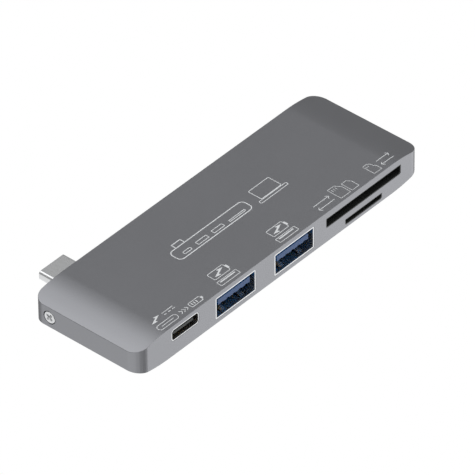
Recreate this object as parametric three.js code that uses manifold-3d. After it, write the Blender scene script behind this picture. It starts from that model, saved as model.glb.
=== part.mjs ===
// Slim USB-C travel hub: an anodised aluminium body with two USB-A ports, a USB-C
// charging port, an SD slot and a microSD slot in its front face, and a rigid
// USB-C plug on its back face. Millimetres, +Z up. X runs along the body, the ports
// face -Y and the plug points to +Y. The origin is the middle of the flat underside.
import * as THREE from 'three';
import { mergeVertices } from 'three/addons/utils/BufferGeometryUtils.js';
import Module from 'manifold-3d';

const wasm = await Module();
wasm.setup();

// ---------------------------------------------------------------- body
const LENGTH = 94.5;
const DEPTH = 30.7;
const THICKNESS = 8.2;
const CORNER_RADIUS = 3.3; // upright corners, seen from above
const TAPER_RUN = 10.1; // length of the curved taper at each end
const TAPER_DROP = 1.36; // how far top and bottom fall back at the end face
const FACE_WALL = 0.8; // top and bottom walls
const FRONT_WALL = 1.2;
const END_WALL = 3.0;
const INNER_CORNER = 1.2;

// ---------------------------------------------------------------- clearances
const SLIP = 0.1; // round a piece that slides into place
const SEAT = 0.05; // under a piece that rests on another
const HAIR = 0.03; // round a contact in its moulded groove
const PORT_GAP = 0.15; // between a connector and the opening that it shows through
const BOARD_GAP = 0.3; // between the board and the walls or connectors beside it
const SETBACK = 0.05; // connector mouths sit this far behind the front face

// ---------------------------------------------------------------- connectors
const USB_A = {
  width: 12.5, height: 5.12, wall: 0.3, length: 13.6,
  lip: 0.1, lipLength: 0.4,
  tongueWidth: 11.1, tongueThickness: 1.84, tongueLift: 0.1, tongueSetback: 0.55,
  blockLength: 4.2,
  springPitches: [-3.5, -1, 1, 3.5], springWidth: 1, springStart: 4, springBump: 0.5,
  padPitches: [-4, -2, 0, 2, 4], padWidth: 0.7, padStart: 0.85, padLength: 2.2,
  stripThickness: 0.2, padThickness: 0.15, tailLength: 1.3,
};
const FINGER = { width: 1.5, slot: 2.1, start: 3.3, length: 4.9, rise: 0.47, spacing: 6.4 };
const USB_C = {
  width: 8.34, height: 2.56, wall: 0.3, length: 7.35,
  tongueWidth: 6.69, tongueThickness: 0.7, tongueSetback: 0.9,
  stepLength: 1, stepThickness: 1.5, blockLength: 2,
};
const PLUG = {
  width: 8.25, height: 2.4, wall: 0.28, reach: 6.65, root: 2,
  slotHeight: 0.84, slotDepth: 7.2, insulatorSetback: 0.35,
  latchThickness: 0.3, latchArm: 0.5, latchBridge: 0.9, latchHook: 0.3, latchSetback: 0.9,
};
const SD = {
  slotWidth: 25.4, slotHeight: 2.2, cardWidth: 24.6, railWidth: 1.5, depth: 20.5,
  floor: 0.15, stopWall: 1.5, bodyHeight: 2.6, sheet: 0.2, skirt: 2,
  contacts: 9, pitch: 2.5, contactWidth: 1.2, contactLength: 5, contactRise: 0.5,
};
const MICROSD = {
  slotWidth: 12.5, slotHeight: 1.17, cardWidth: 11.4, railWidth: 1.3, depth: 15,
  plate: 0.85, stopWall: 1.2, sheet: 0.15,
  contacts: 8, pitch: 1.1, contactWidth: 0.7, contactLength: 3.6, contactRise: 0.35,
};
const SLOT_CORNER = 0.45; // clipped corners of both card slots

// ---------------------------------------------------------------- switch levers
const LEVER = {
  hub: 0.35, bore: 0.45, leaf: 0.22, length: 5, nose: 0.42, protrusion: 0.35,
  inset: 0.75, fromStop: 1.6,
};
const SD_LEVER = { bottom: 0.75, height: 1.1 };
const MICROSD_LEVER = { bottom: -1.95, height: 0.7 };
const LEVER_RELIEF = 0.2; // free height above and below a lever in its window

// ---------------------------------------------------------------- port row
const LEFT_MARGIN = 10.95; // body end to the charging port's shell
const RIGHT_MARGIN = 6.86; // card slot to the body end
const PORT_GAPS = [5.6, 6.4, 4.15]; // between neighbouring ports, left to right

// ---------------------------------------------------------------- board and chips
const BOARD_THICKNESS = 0.8;
const BOARD_TO_BACK = 2.5; // board edge to the body's back face
const CHIPS = [
  { name: 'hub_controller', width: 9, depth: 9, height: 0.9, x: -4, fromBack: 8.6 },
  { name: 'card_controller', width: 5, depth: 4.4, height: 0.85, x: 22, fromBack: 6.1 },
  { name: 'pd_controller', width: 4, depth: 4, height: 0.8, x: -25, fromBack: 9 },
];
const CRYSTAL = { name: 'clock_crystal', width: 3.2, depth: 2.5, height: 0.7, x: -13, fromBack: 7 };

// ---------------------------------------------------------------- back cover, screws
const COVER_THICKNESS = 1.2;
const COVER_INSET = 0.1; // behind the body's back rim
const TAB = { width: 4.6, depth: 6, height: 3.8 };
const RIB = { thickness: 0.6, grip: 0.9, left: 24, right: 37 };
const SCREW = {
  headRadius: 1.6, rim: 0.3, shankRadius: 1, cone: 0.6, length: 6.2,
  recess: 0.75, crossWidth: 0.45, crossSpan: 2, fromBack: 5.1,
};

// ---------------------------------------------------------------- derived places
const FRONT_Y = -DEPTH / 2;
const BACK_Y = DEPTH / 2;
const MID_Z = THICKNESS / 2;
const CAVITY_HALF = LENGTH / 2 - END_WALL;
const CAVITY_FRONT = FRONT_Y + FRONT_WALL;
const BOARD_BOTTOM = FACE_WALL + SLIP + MICROSD.sheet + MICROSD.slotHeight + MICROSD.plate + SEAT;
const BOARD_TOP = BOARD_BOTTOM + BOARD_THICKNESS;
const BOARD_MID = (BOARD_BOTTOM + BOARD_TOP) / 2;
const BOARD_BACK = BACK_Y - BOARD_TO_BACK;
const READER_START = FRONT_WALL + SLIP;

const usbAOuter = USB_A.width + 2 * USB_A.wall;
const usbCOuter = USB_C.width + 2 * USB_C.wall;
const portWidths = [usbCOuter, usbAOuter, usbAOuter, SD.slotWidth];
const rowLength = LEFT_MARGIN + RIGHT_MARGIN + sum(portWidths) + sum(PORT_GAPS);
const spareGap = (LENGTH - rowLength) / PORT_GAPS.length;
const [PD_X, USB_A1_X, USB_A2_X, CARD_X] = portCentres();
const PLUG_X = PD_X - 1.7;
const PD_Z = BOARD_TOP + SEAT + USB_C.height / 2 + USB_C.wall;
// The contact tails of the USB-A ports lie flat on the board.
const USB_A_Z = BOARD_TOP + 2 * HAIR + USB_A.stripThickness - USB_A.tongueLift;

// ---------------------------------------------------------------- materials
const finish = (color, roughness, metalness) =>
  new THREE.MeshStandardMaterial({ color, roughness, metalness });
const anodisedAluminium = finish(0x6e6f73, 0.42, 0.9);
const greyMoulding = finish(0x5f6165, 0.6, 0);
const nickelPlatedSteel = finish(0xc9ccd0, 0.25, 1);
const stainlessSheet = finish(0xb4b8bb, 0.3, 1);
const bluePolymer = finish(0x1f4e96, 0.5, 0);
const blackPolymer = finish(0x111214, 0.55, 0);
const goldContact = finish(0xd8b25a, 0.3, 1);
const circuitBoard = finish(0x123a26, 0.5, 0);
const chipEpoxy = finish(0x17181a, 0.7, 0);

// ---------------------------------------------------------------- helpers
function sum(values) {
  return values.reduce((total, value) => total + value, 0);
}

function portCentres() {
  const centres = [];
  let edge = -LENGTH / 2 + LEFT_MARGIN;
  portWidths.forEach((width, index) => {
    centres.push(edge + width / 2);
    edge += width + (PORT_GAPS[index] ?? 0) + spareGap;
  });
  return centres;
}

function solid(geometry) {
  const bare = geometry.clone();
  bare.deleteAttribute('normal');
  bare.deleteAttribute('uv');
  const merged = mergeVertices(bare, 1e-4);
  return new wasm.Manifold(new wasm.Mesh({
    numProp: 3,
    vertProperties: new Float32Array(merged.attributes.position.array),
    triVerts: new Uint32Array(merged.index.array),
  }));
}

function geometryOf(manifold) {
  const mesh = manifold.getMesh();
  const geometry = new THREE.BufferGeometry();
  geometry.setAttribute('position', new THREE.BufferAttribute(mesh.vertProperties, 3));
  geometry.setIndex(new THREE.BufferAttribute(mesh.triVerts, 1));
  geometry.computeVertexNormals();
  return geometry;
}

function joined(pieces) {
  return pieces.slice(1).reduce((total, piece) => total.add(piece), pieces[0]);
}

function cut(body, tools) {
  return tools.reduce((rest, tool) => rest.subtract(tool), body);
}

// A box between two limits on each axis.
function block([x0, x1], [y0, y1], [z0, z1]) {
  const geometry = new THREE.BoxGeometry(x1 - x0, y1 - y0, z1 - z0);
  return solid(geometry.translate((x0 + x1) / 2, (y0 + y1) / 2, (z0 + z1) / 2));
}

function extruded(shape, length, curveSegments = 8) {
  return new THREE.ExtrudeGeometry(shape, { depth: length, bevelEnabled: false, curveSegments });
}

// A shape drawn in X and Y, standing from z0 to z1.
function upright(shape, z0, z1, curveSegments) {
  return solid(extruded(shape, z1 - z0, curveSegments).translate(0, 0, z0));
}

// A shape drawn in X and Z, running from y0 to y1.
function alongY(shape, y0, y1, curveSegments) {
  return solid(extruded(shape, y1 - y0, curveSegments).rotateX(Math.PI / 2).translate(0, y1, 0));
}

// A shape drawn in Y and Z, running from x0 to x1.
function alongX(shape, x0, x1) {
  const turn = new THREE.Matrix4().makeBasis(
    new THREE.Vector3(0, 1, 0), new THREE.Vector3(0, 0, 1), new THREE.Vector3(1, 0, 0));
  return solid(extruded(shape, x1 - x0).applyMatrix4(turn).translate(x0, 0, 0));
}

function polygon(points) {
  return new THREE.Shape(points.map(([x, y]) => new THREE.Vector2(x, y)));
}

function roundedRectangle(width, height, radius) {
  const x = width / 2 - radius;
  const y = height / 2 - radius;
  const shape = new THREE.Shape();
  shape.absarc(x, -y, radius, -Math.PI / 2, 0);
  shape.absarc(x, y, radius, 0, Math.PI / 2);
  shape.absarc(-x, y, radius, Math.PI / 2, Math.PI);
  shape.absarc(-x, -y, radius, Math.PI, 1.5 * Math.PI);
  return shape;
}

function stadium(width, height) {
  const half = width / 2 - height / 2;
  const shape = new THREE.Shape();
  shape.absarc(half, 0, height / 2, -Math.PI / 2, Math.PI / 2);
  shape.absarc(-half, 0, height / 2, Math.PI / 2, 1.5 * Math.PI);
  return shape;
}

function clippedRectangle(width, z0, z1, clip) {
  const half = width / 2;
  return polygon([
    [-half + clip, z0], [half - clip, z0], [half, z0 + clip], [half, z1],
    [-half, z1], [-half, z0 + clip],
  ]);
}

// The body's outline seen from the front, drawn in by wall on its top and bottom, out to
// half on each side: flat in the middle, with an arc that falls away towards each end.
function sideProfile(half, wall) {
  const arcRadius = (TAPER_RUN ** 2 + TAPER_DROP ** 2) / (2 * TAPER_DROP);
  const arcCentre = LENGTH / 2 - TAPER_RUN;
  const radius = arcRadius - wall;
  const angle = Math.asin((half - arcCentre) / radius);
  const low = arcRadius;
  const high = THICKNESS - arcRadius;
  const shape = new THREE.Shape();
  shape.absarc(arcCentre, low, radius, -Math.PI / 2, -Math.PI / 2 + angle);
  shape.absarc(arcCentre, high, radius, Math.PI / 2 - angle, Math.PI / 2);
  shape.absarc(-arcCentre, high, radius, Math.PI / 2, Math.PI / 2 + angle);
  shape.absarc(-arcCentre, low, radius, 1.5 * Math.PI - angle, 1.5 * Math.PI);
  return shape;
}

// A round section swept about a line along X; side is +1 or -1 for the end it faces.
// Points are [radius, distance inwards from the end face].
function turnedAboutX(points, side, y, z) {
  const outline = points.map(([radius, inward]) => new THREE.Vector2(radius, -inward));
  const geometry = new THREE.LatheGeometry(outline.reverse(), 24);
  geometry.rotateZ(-side * Math.PI / 2).translate(side * LENGTH / 2, y, z);
  return solid(geometry);
}

function mesh(name, manifold, material) {
  const piece = new THREE.Mesh(geometryOf(manifold), material);
  piece.name = name;
  return piece;
}

function placed(x, y, z, pieces) {
  const group = new THREE.Group();
  group.position.set(x, y, z);
  group.add(...pieces);
  return group;
}

// ---------------------------------------------------------------- body and cover
function portOpenings() {
  const through = [-1, FRONT_WALL + 1];
  const usbA = roundedRectangle(
    usbAOuter + 2 * (USB_A.lip + PORT_GAP), USB_A.height + 2 * (USB_A.wall + USB_A.lip + PORT_GAP), 0.3);
  const usbC = stadium(usbCOuter + 2 * PORT_GAP, USB_C.height + 2 * (USB_C.wall + PORT_GAP));
  const sdFloor = SEAT + SD.floor;
  const sdSlot = clippedRectangle(SD.slotWidth, sdFloor, sdFloor + SD.slotHeight, SLOT_CORNER);
  const microTop = -SEAT - MICROSD.plate;
  const microSlot = clippedRectangle(
    MICROSD.slotWidth, microTop - MICROSD.slotHeight, microTop, SLOT_CORNER);
  return [
    alongY(usbA, ...through).translate([USB_A1_X, FRONT_Y, USB_A_Z]),
    alongY(usbA, ...through).translate([USB_A2_X, FRONT_Y, USB_A_Z]),
    alongY(usbC, ...through).translate([PD_X, FRONT_Y, PD_Z]),
    alongY(sdSlot, ...through).translate([CARD_X, FRONT_Y, BOARD_TOP]),
    alongY(microSlot, ...through).translate([CARD_X, FRONT_Y, BOARD_BOTTOM]),
  ];
}

function screwHole(side) {
  const head = SCREW.headRadius + SLIP;
  const shank = SCREW.shankRadius + SLIP;
  const past = END_WALL + 1;
  const profile = [
    [0, -1], [head, -1], [head, SCREW.rim + SLIP], [shank, SCREW.rim + SCREW.cone + SLIP],
    [shank, past], [0, past],
  ];
  return turnedAboutX(profile, side, BACK_Y - SCREW.fromBack, MID_Z);
}

function housing() {
  const plan = upright(roundedRectangle(LENGTH, DEPTH, CORNER_RADIUS), -1, THICKNESS + 1, 10);
  const outer = alongY(sideProfile(LENGTH / 2, 0), FRONT_Y - 1, BACK_Y + 1, 8).intersect(plan);
  const past = INNER_CORNER + 1;
  const roomDepth = BACK_Y + past - CAVITY_FRONT;
  const room = upright(roundedRectangle(2 * CAVITY_HALF, roomDepth, INNER_CORNER), 0, THICKNESS, 4)
    .translate([0, CAVITY_FRONT + roomDepth / 2, 0]);
  const cavity = alongY(sideProfile(LENGTH / 2, FACE_WALL), FRONT_Y, BACK_Y + past, 8).intersect(room);
  const body = cut(outer, [cavity, ...portOpenings(), screwHole(-1), screwHole(1)]);
  return mesh('housing', body, anodisedAluminium);
}

function coverTab(side) {
  const outer = CAVITY_HALF - SLIP;
  const inner = outer - TAB.width;
  const back = BACK_Y - COVER_INSET - COVER_THICKNESS / 2;
  const front = BACK_Y - SCREW.fromBack - TAB.depth / 2;
  const limits = side > 0 ? [inner, outer] : [-outer, -inner];
  return block(limits, [front, back], [MID_Z - TAB.height / 2, MID_Z + TAB.height / 2]);
}

function coverRib(z0, z1) {
  const back = BACK_Y - COVER_INSET - COVER_THICKNESS / 2;
  return block([-RIB.left, RIB.right], [BOARD_BACK - RIB.grip, back], [z0, z1]);
}

function tabBore(side) {
  const radius = SCREW.shankRadius + SLIP;
  const profile = [[0, END_WALL - 1], [radius, END_WALL - 1], [radius, SCREW.length + 1],
    [0, SCREW.length + 1]];
  return turnedAboutX(profile, side, BACK_Y - SCREW.fromBack, MID_Z);
}

function backCover() {
  const rear = BACK_Y - COVER_INSET;
  const strip = alongY(sideProfile(LENGTH / 2, FACE_WALL + SLIP), rear - COVER_THICKNESS, rear, 8);
  const ends = block([-CAVITY_HALF + SLIP, CAVITY_HALF - SLIP], [0, DEPTH], [0, THICKNESS]);
  const ribs = [
    coverRib(BOARD_TOP + SEAT, BOARD_TOP + SEAT + RIB.thickness),
    coverRib(BOARD_BOTTOM - SEAT - RIB.thickness, BOARD_BOTTOM - SEAT),
  ];
  const plugHole = alongY(
    stadium(PLUG.width + 2 * PORT_GAP, PLUG.height + 2 * PORT_GAP), rear - 3, rear + 1);
  const body = joined([strip.intersect(ends), coverTab(-1), coverTab(1), ...ribs]);
  const holes = [plugHole.translate([PLUG_X, 0, BOARD_MID]), tabBore(-1), tabBore(1)];
  return mesh('back_cover', cut(body, holes), greyMoulding);
}

function endScrew(name, side) {
  const shankEnd = SCREW.length;
  const profile = [
    [0, 0], [SCREW.headRadius, 0], [SCREW.headRadius, SCREW.rim],
    [SCREW.shankRadius, SCREW.rim + SCREW.cone], [SCREW.shankRadius, shankEnd], [0, shankEnd],
  ];
  const y = BACK_Y - SCREW.fromBack;
  const body = turnedAboutX(profile, side, y, MID_Z);
  const face = side * LENGTH / 2;
  const depth = [face - SCREW.recess, face + SCREW.recess];
  const wide = SCREW.crossSpan / 2;
  const thin = SCREW.crossWidth / 2;
  const cross = [
    block(depth, [y - wide, y + wide], [MID_Z - thin, MID_Z + thin]),
    block(depth, [y - thin, y + thin], [MID_Z - wide, MID_Z + wide]),
  ];
  return mesh(name, cut(body, cross), nickelPlatedSteel);
}

// ---------------------------------------------------------------- board and chips
function mainBoard() {
  const front = CAVITY_FRONT + BOARD_GAP;
  const depth = BOARD_BACK - front;
  const outline = roundedRectangle(2 * (CAVITY_HALF - BOARD_GAP), depth, INNER_CORNER);
  const sheet = upright(outline, BOARD_BOTTOM, BOARD_TOP, 4).translate([0, front + depth / 2, 0]);
  const mouthHalf = usbAOuter / 2 + BOARD_GAP / 2;
  const mouthEnd = FRONT_Y + USB_A.length + BOARD_GAP / 2;
  const mouths = [USB_A1_X, USB_A2_X].map(
    (x) => block([x - mouthHalf, x + mouthHalf], [FRONT_Y, mouthEnd], [0, THICKNESS]));
  const notchX = CAVITY_HALF - SLIP - TAB.width - BOARD_GAP;
  const notchY = BACK_Y - SCREW.fromBack - TAB.depth / 2 - BOARD_GAP;
  const notches = [[-LENGTH, -notchX], [notchX, LENGTH]].map(
    (limits) => block(limits, [notchY, DEPTH], [0, THICKNESS]));
  return mesh('main_board', cut(sheet, [...mouths, ...notches]), circuitBoard);
}

function surfacePart({ name, width, depth, height, x, fromBack }, material) {
  const y = BACK_Y - fromBack;
  const body = block([-width / 2, width / 2], [-depth / 2, depth / 2], [0, height]);
  const piece = mesh(name, body, material);
  piece.position.set(x, y, BOARD_TOP + SEAT);
  return piece;
}

// ---------------------------------------------------------------- USB-A port
// y = 0 is the body's front face and z = 0 is the connector's middle.
function springFinger(x, up) {
  const inner = USB_A.height / 2;
  const outer = inner + USB_A.wall;
  const bend = FINGER.start + 0.62 * FINGER.length;
  const tip = FINGER.start + 0.88 * FINGER.length;
  const strip = 0.8 * USB_A.wall;
  const points = [
    [FINGER.start - 0.5, outer], [FINGER.start, outer], [bend, inner - FINGER.rise + strip],
    [tip, inner], [tip, inner - strip], [bend - 0.1, inner - FINGER.rise],
    [FINGER.start - 0.1, inner], [FINGER.start - 0.5, inner],
  ];
  const side = up ? 1 : -1;
  const outline = points.map(([y, z]) => [y, side * z]);
  return alongX(polygon(up ? outline.reverse() : outline), x - FINGER.width / 2, x + FINGER.width / 2);
}

function fingerWindow(x, up) {
  const side = up ? 1 : -1;
  const levels = [side * (USB_A.height / 2 - 0.2), side * (USB_A.height / 2 + USB_A.wall + 0.2)];
  return block(
    [x - FINGER.slot / 2, x + FINGER.slot / 2],
    [FINGER.start, FINGER.start + FINGER.length],
    [Math.min(...levels), Math.max(...levels)]);
}

function usbAShell(name) {
  const { width, height, wall, lip, lipLength, length } = USB_A;
  const tube = (grow, y0, y1) => alongY(
    roundedRectangle(width + 2 * grow, height + 2 * grow, 0.25 + grow), y0, y1, 3);
  const places = [-1, 1].flatMap(
    (side) => [false, true].map((up) => [side * FINGER.spacing / 2, up]));
  const walls = cut(
    tube(wall, SETBACK, length).add(tube(wall + lip, SETBACK, SETBACK + lipLength)),
    [tube(0, -1, length + 1), ...places.map(([x, up]) => fingerWindow(x, up))]);
  const body = joined([walls, ...places.map(([x, up]) => springFinger(x, up))]);
  return mesh(name, body, nickelPlatedSteel);
}

function usbAInsulator(name) {
  const blockStart = USB_A.length - USB_A.blockLength;
  const halfWidth = USB_A.width / 2 - SLIP;
  const halfHeight = USB_A.height / 2 - SLIP;
  const top = USB_A.tongueLift + USB_A.tongueThickness;
  const back = block([-halfWidth, halfWidth], [blockStart, USB_A.length], [-halfHeight, halfHeight]);
  const tongue = block(
    [-USB_A.tongueWidth / 2, USB_A.tongueWidth / 2],
    [USB_A.tongueSetback, blockStart + 1], [USB_A.tongueLift, top]);
  const springGrooves = USB_A.springPitches.map((x) => block(
    [x - USB_A.springWidth / 2 - HAIR, x + USB_A.springWidth / 2 + HAIR],
    [blockStart - 1, USB_A.length + 1],
    [USB_A.tongueLift - 2 * HAIR - USB_A.stripThickness, USB_A.tongueLift]));
  const padPockets = USB_A.padPitches.map((x) => block(
    [x - USB_A.padWidth / 2 - HAIR, x + USB_A.padWidth / 2 + HAIR],
    [USB_A.padStart - HAIR, USB_A.padStart + USB_A.padLength + HAIR],
    [USB_A.tongueLift - 1, USB_A.tongueLift + USB_A.padThickness + HAIR]));
  const shelf = cut(back, springGrooves);
  return mesh(name, cut(shelf.add(tongue), padPockets), bluePolymer);
}

function usbASpring(name, x) {
  const top = USB_A.tongueLift - HAIR;
  const low = top - USB_A.stripThickness;
  const { springStart: start, springBump: bump } = USB_A;
  const end = USB_A.length + USB_A.tailLength;
  const points = [
    [start, low], [start + 1.3, low - bump], [start + 2.6, low], [end, low],
    [end, top], [start + 2.5, top], [start + 1.3, top - bump], [start + 0.1, top],
  ];
  const body = alongX(polygon(points), -USB_A.springWidth / 2, USB_A.springWidth / 2);
  const piece = mesh(name, body, goldContact);
  piece.position.x = x;
  return piece;
}

function usbAPad(name, x) {
  const half = USB_A.padWidth / 2;
  const body = block(
    [-half, half], [USB_A.padStart, USB_A.padStart + USB_A.padLength],
    [USB_A.tongueLift, USB_A.tongueLift + USB_A.padThickness]);
  const piece = mesh(name, body, goldContact);
  piece.position.x = x;
  return piece;
}

function usbAPort(name, x) {
  return placed(x, FRONT_Y, USB_A_Z, [
    usbAShell(`${name}_shell`),
    usbAInsulator(`${name}_insulator`),
    ...USB_A.springPitches.map((pitch, index) => usbASpring(`${name}_contact_${index + 1}`, pitch)),
    ...USB_A.padPitches.map((pitch, index) => usbAPad(`${name}_ss_contact_${index + 1}`, pitch)),
  ]);
}

// ---------------------------------------------------------------- USB-C charging port
function pdShell() {
  const outer = stadium(usbCOuter, USB_C.height + 2 * USB_C.wall);
  const inner = stadium(USB_C.width, USB_C.height);
  const body = alongY(outer, SETBACK, USB_C.length).subtract(alongY(inner, -1, USB_C.length + 1));
  return mesh('pd_port_shell', body, nickelPlatedSteel);
}

function pdTongue() {
  const blockStart = USB_C.length - USB_C.blockLength;
  const half = USB_C.tongueWidth / 2;
  const back = alongY(
    stadium(USB_C.width - 2 * SLIP, USB_C.height - 2 * SLIP), blockStart, USB_C.length);
  const step = block(
    [-half, half], [blockStart - USB_C.stepLength, blockStart + 1],
    [-USB_C.stepThickness / 2, USB_C.stepThickness / 2]);
  const blade = block(
    [-half, half], [USB_C.tongueSetback, blockStart + 1],
    [-USB_C.tongueThickness / 2, USB_C.tongueThickness / 2]);
  return mesh('pd_port_tongue', joined([back, step, blade]), blackPolymer);
}

// ---------------------------------------------------------------- USB-C plug
// y = 0 is the body's back face and y grows towards the plug's tip.
function plugShell() {
  const { width, height, wall, root, reach } = PLUG;
  const inner = stadium(width - 2 * wall, height - 2 * wall);
  const body = alongY(stadium(width, height), -root, reach).subtract(
    alongY(inner, -root - 1, reach + 1));
  return mesh('plug_shell', body, nickelPlatedSteel);
}

function plugInsulator() {
  const inset = PLUG.wall + SLIP;
  const tip = PLUG.reach - PLUG.insulatorSetback;
  const body = alongY(
    stadium(PLUG.width - 2 * inset, PLUG.height - 2 * inset), -PLUG.root, tip);
  const slot = block(
    [-PLUG.width, PLUG.width], [tip - PLUG.slotDepth, tip + 1],
    [-PLUG.slotHeight / 2, PLUG.slotHeight / 2]);
  return mesh('plug_insulator', body.subtract(slot), blackPolymer);
}

function plugLatch() {
  const outer = PLUG.width / 2 - PLUG.wall - 2 * SLIP;
  const inner = outer - PLUG.latchArm;
  const start = PLUG.reach - PLUG.insulatorSetback - PLUG.slotDepth + SLIP;
  const tip = PLUG.reach - PLUG.latchSetback;
  const level = [-PLUG.latchThickness / 2, PLUG.latchThickness / 2];
  const hookEnd = inner - PLUG.latchHook;
  const body = joined([
    block([-outer, outer], [start, start + PLUG.latchBridge], level),
    block([inner, outer], [start, tip], level),
    block([-outer, -inner], [start, tip], level),
    block([hookEnd, outer], [tip - 1, tip - 0.4], level),
    block([-outer, -hookEnd], [tip - 1, tip - 0.4], level),
  ]);
  return mesh('plug_latch', body, stainlessSheet);
}

// ---------------------------------------------------------------- switch levers
// A lever's pivot is the origin; its leaf runs towards the slot's mouth (-Y) and its nose
// stands into the card channel on the side that nose gives, +1 or -1.
function leverBody(nose, height) {
  const hub = solid(new THREE.CylinderGeometry(LEVER.hub, LEVER.hub, height, 16)
    .rotateX(Math.PI / 2).translate(0, 0, height / 2));
  const half = LEVER.leaf / 2;
  const leaf = block([-half, half], [-LEVER.length, 0], [0, height]);
  const reach = LEVER.inset + LEVER.protrusion;
  const nub = polygon([
    [0, -LEVER.length], [reach, -LEVER.length + LEVER.nose],
    [reach, -LEVER.length + 2 * LEVER.nose], [0, -LEVER.length + 3 * LEVER.nose],
  ].map(([x, y]) => [x * nose, y]));
  const points = nose > 0 ? nub : new THREE.Shape(nub.getPoints().reverse());
  return joined([hub, leaf, upright(points, 0, height)]);
}

function lever(name, nose, { bottom, height }, x, y, z) {
  const piece = mesh(name, leverBody(nose, height), stainlessSheet);
  piece.position.set(x, y, z + bottom);
  return piece;
}

// The window that a lever swings in, and the bore that holds its hub.
function leverPocket(nose, { bottom, height }, x, y, rail) {
  const level = [bottom - LEVER_RELIEF, bottom + height + LEVER_RELIEF];
  const front = y - LEVER.length - LEVER_RELIEF;
  const window = block([x - rail, x + rail], [front, y - LEVER.hub], level);
  const bore = solid(new THREE.CylinderGeometry(LEVER.bore, LEVER.bore, level[1] - level[0], 16)
    .rotateX(Math.PI / 2).translate(x, y, (level[0] + level[1]) / 2));
  const neck = block([x - LEVER.leaf, x + LEVER.leaf], [front, y], level);
  return joined([window, bore, neck]);
}

// ---------------------------------------------------------------- SD reader
// y = 0 is the body's front face and z = 0 is the board's top.
const SD_WALL_X = SD.cardWidth / 2; // card channel's side
const SD_STOP_Y = READER_START + SD.depth - SD.stopWall;
const SD_LEVER_X = SD_WALL_X + LEVER.inset;
const SD_LEVER_Y = SD_STOP_Y - LEVER.fromStop;

function sdBase() {
  const half = SD_WALL_X + SD.railWidth;
  const floor = SEAT + SD.floor;
  const top = SEAT + SD.bodyHeight;
  const body = block([-half, half], [READER_START, READER_START + SD.depth], [SEAT, top]);
  const channel = block([-SD_WALL_X, SD_WALL_X], [0, SD_STOP_Y], [floor, top + 1]);
  const pockets = [-1, 1].map((side) => leverPocket(
    -side, SD_LEVER, side * SD_LEVER_X, SD_LEVER_Y, SD.railWidth));
  return mesh('sd_base', cut(body, [channel, ...pockets]), blackPolymer);
}

function sdCover() {
  const half = SD_WALL_X + SD.railWidth + SEAT;
  const low = 2 * SEAT + SD.bodyHeight;
  const span = [READER_START, READER_START + SD.depth];
  const edge = half + SD.sheet;
  const body = joined([
    block([-edge, edge], span, [low, low + SD.sheet]),
    block([half, edge], span, [low - SD.skirt, low + SD.sheet]),
    block([-edge, -half], span, [low - SD.skirt, low + SD.sheet]),
  ]);
  return mesh('sd_cover', body, stainlessSheet);
}

// A leaf contact on a channel floor: flat at its root, humped where the card's pad lands.
function leafContact({ contactWidth, contactLength, contactRise }, sheet, side) {
  const outline = [
    [0, 0], [0, sheet], [-contactLength / 2, sheet], [-0.75 * contactLength, contactRise + sheet],
    [-contactLength, sheet], [-contactLength, 0], [-0.75 * contactLength, contactRise],
    [-contactLength / 2, 0],
  ].map(([y, z]) => [y, side * z]);
  const turned = side > 0 ? outline.reverse() : outline;
  return alongX(polygon(turned), -contactWidth / 2, contactWidth / 2);
}

function contactRow(prefix, reader, sheet, side, rootY, rootZ) {
  return Array.from({ length: reader.contacts }, (_, index) => {
    const piece = mesh(`${prefix}_${index + 1}`, leafContact(reader, sheet, side), goldContact);
    piece.position.set((index - (reader.contacts - 1) / 2) * reader.pitch, rootY, rootZ);
    return piece;
  });
}

function sdReader() {
  const contactZ = SEAT + SD.floor + HAIR;
  return placed(CARD_X, FRONT_Y, BOARD_TOP, [
    sdBase(),
    sdCover(),
    ...contactRow('sd_contact', SD, SD.sheet, 1, SD_STOP_Y - HAIR, contactZ),
    lever('sd_detect_lever', 1, SD_LEVER, -SD_LEVER_X, SD_LEVER_Y, 0),
    lever('sd_protect_lever', -1, SD_LEVER, SD_LEVER_X, SD_LEVER_Y, 0),
  ]);
}

// ---------------------------------------------------------------- microSD reader
// y = 0 is the body's front face and z = 0 is the board's underside.
const MICRO_WALL_X = MICROSD.cardWidth / 2;
const MICRO_STOP_Y = READER_START + MICROSD.depth - MICROSD.stopWall;
const MICRO_LEVER_X = MICRO_WALL_X + LEVER.inset;
const MICRO_LEVER_Y = MICRO_STOP_Y - LEVER.fromStop;
const MICRO_TOP = -SEAT - MICROSD.plate;
const MICRO_LOW = MICRO_TOP - MICROSD.slotHeight;

function microBase() {
  const half = MICRO_WALL_X + MICROSD.railWidth;
  const body = block([-half, half], [READER_START, READER_START + MICROSD.depth], [MICRO_LOW, -SEAT]);
  const channel = block(
    [-MICRO_WALL_X, MICRO_WALL_X], [0, MICRO_STOP_Y], [MICRO_LOW - 1, MICRO_TOP]);
  const pocket = leverPocket(1, MICROSD_LEVER, -MICRO_LEVER_X, MICRO_LEVER_Y, MICROSD.railWidth);
  return mesh('microsd_base', cut(body, [channel, pocket]), blackPolymer);
}

function microCover() {
  const half = MICRO_WALL_X + MICROSD.railWidth;
  const top = MICRO_LOW - SEAT / 2;
  const body = block(
    [-half, half], [READER_START, READER_START + MICROSD.depth], [top - MICROSD.sheet, top]);
  return mesh('microsd_cover', body, stainlessSheet);
}

function microReader() {
  const rootY = MICRO_STOP_Y - HAIR;
  return placed(CARD_X, FRONT_Y, BOARD_BOTTOM, [
    microBase(),
    microCover(),
    ...contactRow('microsd_contact', MICROSD, MICROSD.sheet, -1, rootY, MICRO_TOP - HAIR),
    lever('microsd_detect_lever', 1, MICROSD_LEVER, -MICRO_LEVER_X, MICRO_LEVER_Y, 0),
  ]);
}

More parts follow.
